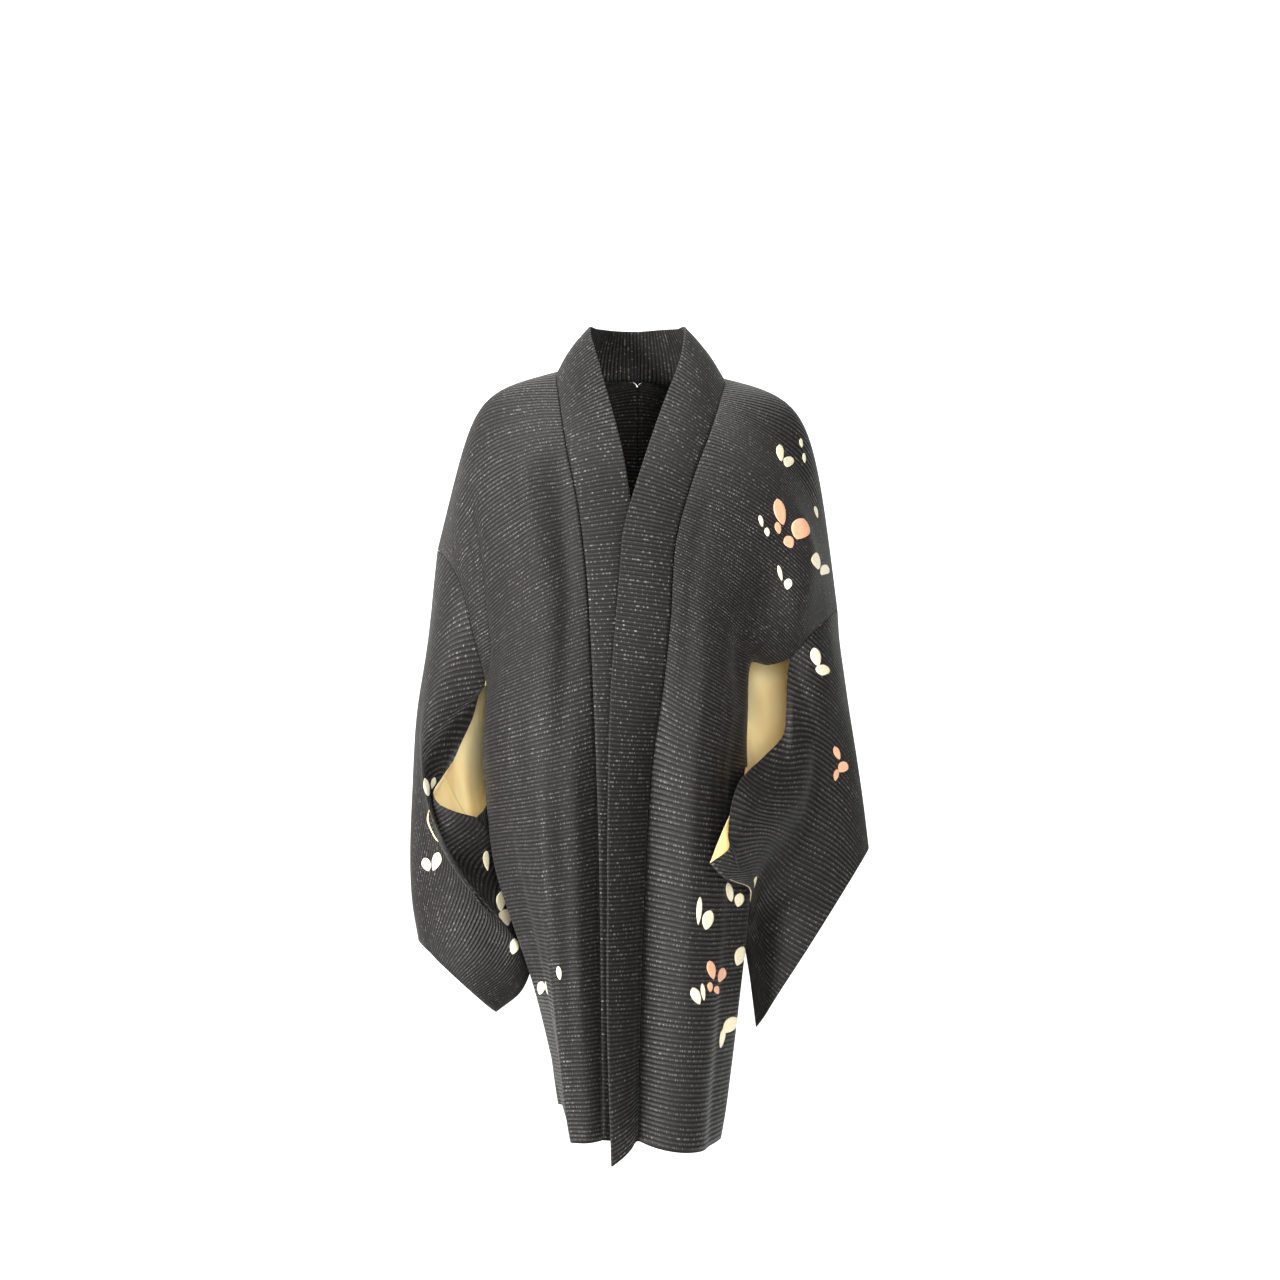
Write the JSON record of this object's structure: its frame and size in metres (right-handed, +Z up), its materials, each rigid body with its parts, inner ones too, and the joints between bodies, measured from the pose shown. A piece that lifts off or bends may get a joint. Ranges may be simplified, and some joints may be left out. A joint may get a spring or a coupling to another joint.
{
  "type": "haori kimono jacket, worn form",
  "caption": "Open-fronted haori kimono jacket filled out as worn, with one long collar band, side wedges and deep hanging sleeves with open inner edges and pale lining",
  "frame": {"origin": "midway between the shoulders at the height of the shoulder line beside the neck, where the wearer carries the garment", "axes": "+X towards the wearer's left, -Y out of the front, +Z up"},
  "size_m": [0.4809, 0.2532, 0.8571],
  "materials": {
    "cloth": "black silk with crosswise ribs and silvery metal thread, woven butterfly motifs",
    "lining": "smooth cream silk lining"
  },
  "bodies": {
    "root": {"body_right": "cloth", "body_left": "cloth", "gusset_right": "cloth", "gusset_left": "cloth", "collar": "cloth", "sleeve_right": "cloth", "sleeve_left": "cloth", "sleeve_lining_right": "lining", "sleeve_lining_left": "lining"}
  },
  "joints": []
}
